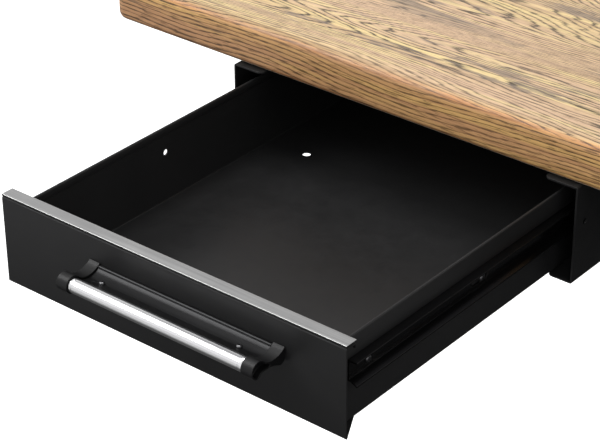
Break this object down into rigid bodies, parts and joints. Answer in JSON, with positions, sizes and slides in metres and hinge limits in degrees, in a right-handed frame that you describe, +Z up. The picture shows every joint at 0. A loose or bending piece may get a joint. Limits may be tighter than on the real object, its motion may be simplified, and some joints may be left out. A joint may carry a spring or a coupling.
{
  "type": "workbench with drawers",
  "caption": "Workbench with a thick wooden top, shallow sheet-steel drawers hung under it on ball-bearing slides, and a cantilever steel frame with levelling feet.",
  "frame": {"origin": "on the floor, at the centre of the bounding box with the left drawer drawn out 318.6 mm as at rest", "axes": "+Z up, -Y is the front where the drawers open, +X is to the user's right along the worktop"},
  "size_m": [1.2, 1.116, 0.88],
  "materials": {
    "wood_top": "clear-lacquered oak boards, grain along X",
    "frame_steel": "black powder coat, satin",
    "black_steel": "black powder coat, satin",
    "bright_strip": "satin anodised",
    "silver_bar": "bright satin anodised",
    "dark_aluminium": "dark grey anodised, satin",
    "black_plastic": "fine-textured moulding",
    "slide_steel": "black-zinc plated roll-formed steel",
    "zinc": "zinc plated",
    "rubber": "moulded"
  },
  "bodies": {
    "bench": {"worktop": "wood_top", "rear_rail": "frame_steel", "left_arm": "frame_steel", "left_arm_plug": "black_plastic", "middle_arm": "frame_steel", "middle_arm_plug": "black_plastic", "right_arm": "frame_steel", "right_arm_plug": "black_plastic", "left_rail_plug": "black_plastic", "left_column": "frame_steel", "left_floor_beam": "frame_steel", "left_beam_front_plug": "black_plastic", "left_beam_rear_plug": "black_plastic", "left_gusset": "frame_steel", "left_front_foot": "rubber", "left_rear_foot": "rubber", "right_rail_plug": "black_plastic", "right_column": "frame_steel", "right_floor_beam": "frame_steel", "right_beam_front_plug": "black_plastic", "right_beam_rear_plug": "black_plastic", "right_gusset": "frame_steel", "right_front_foot": "rubber", "right_rear_foot": "rubber", "lower_crossbar": "frame_steel", "left_unit_right_bracket": "black_steel", "left_unit_right_outer_slide": "slide_steel", "left_unit_left_bracket": "black_steel", "left_unit_left_outer_slide": "slide_steel", "right_unit_right_bracket": "black_steel", "right_unit_right_outer_slide": "slide_steel", "right_unit_left_bracket": "black_steel", "right_unit_left_outer_slide": "slide_steel"},
    "left_ball_cages": {"left_unit_right_ball_cage": "zinc", "left_unit_left_ball_cage": "zinc"},
    "left_drawer": {"left_drawer_right_inner_slide": "slide_steel", "left_drawer_left_inner_slide": "slide_steel", "left_drawer_tray": "black_steel", "left_drawer_front": "black_steel", "left_drawer_strip": "bright_strip", "left_handle_left_cap": "black_plastic", "left_handle_right_cap": "black_plastic", "left_handle_bar": "silver_bar", "left_handle_plate": "dark_aluminium", "left_handle_screw_1": "zinc", "left_handle_screw_2": "zinc"},
    "right_ball_cages": {"right_unit_right_ball_cage": "zinc", "right_unit_left_ball_cage": "zinc"},
    "right_drawer": {"right_drawer_right_inner_slide": "slide_steel", "right_drawer_left_inner_slide": "slide_steel", "right_drawer_tray": "black_steel", "right_drawer_front": "black_steel", "right_drawer_strip": "bright_strip", "right_handle_left_cap": "black_plastic", "right_handle_right_cap": "black_plastic", "right_handle_bar": "silver_bar", "right_handle_plate": "dark_aluminium", "right_handle_screw_1": "zinc", "right_handle_screw_2": "zinc"}
  },
  "joints": [
    {"name": "left_drawer_slide", "type": "slide", "parent": "bench", "child": "left_drawer", "axis": [0, -1, 0], "range_m": [-0.3186, 0.0564]},
    {"name": "left_cage_roll", "type": "slide", "parent": "bench", "child": "left_ball_cages", "axis": [0, -1, 0], "range_m": [-0.1594, 0.0283]},
    {"name": "right_drawer_slide", "type": "slide", "parent": "bench", "child": "right_drawer", "axis": [0, -1, 0], "range_m": [0, 0.375]},
    {"name": "right_cage_roll", "type": "slide", "parent": "bench", "child": "right_ball_cages", "axis": [0, -1, 0], "range_m": [0, 0.1876]}
  ],
  "couplings": [
    {"joint": "left_cage_roll", "follows": "left_drawer_slide", "ratio": 0.5},
    {"joint": "right_cage_roll", "follows": "right_drawer_slide", "ratio": 0.5}
  ]
}
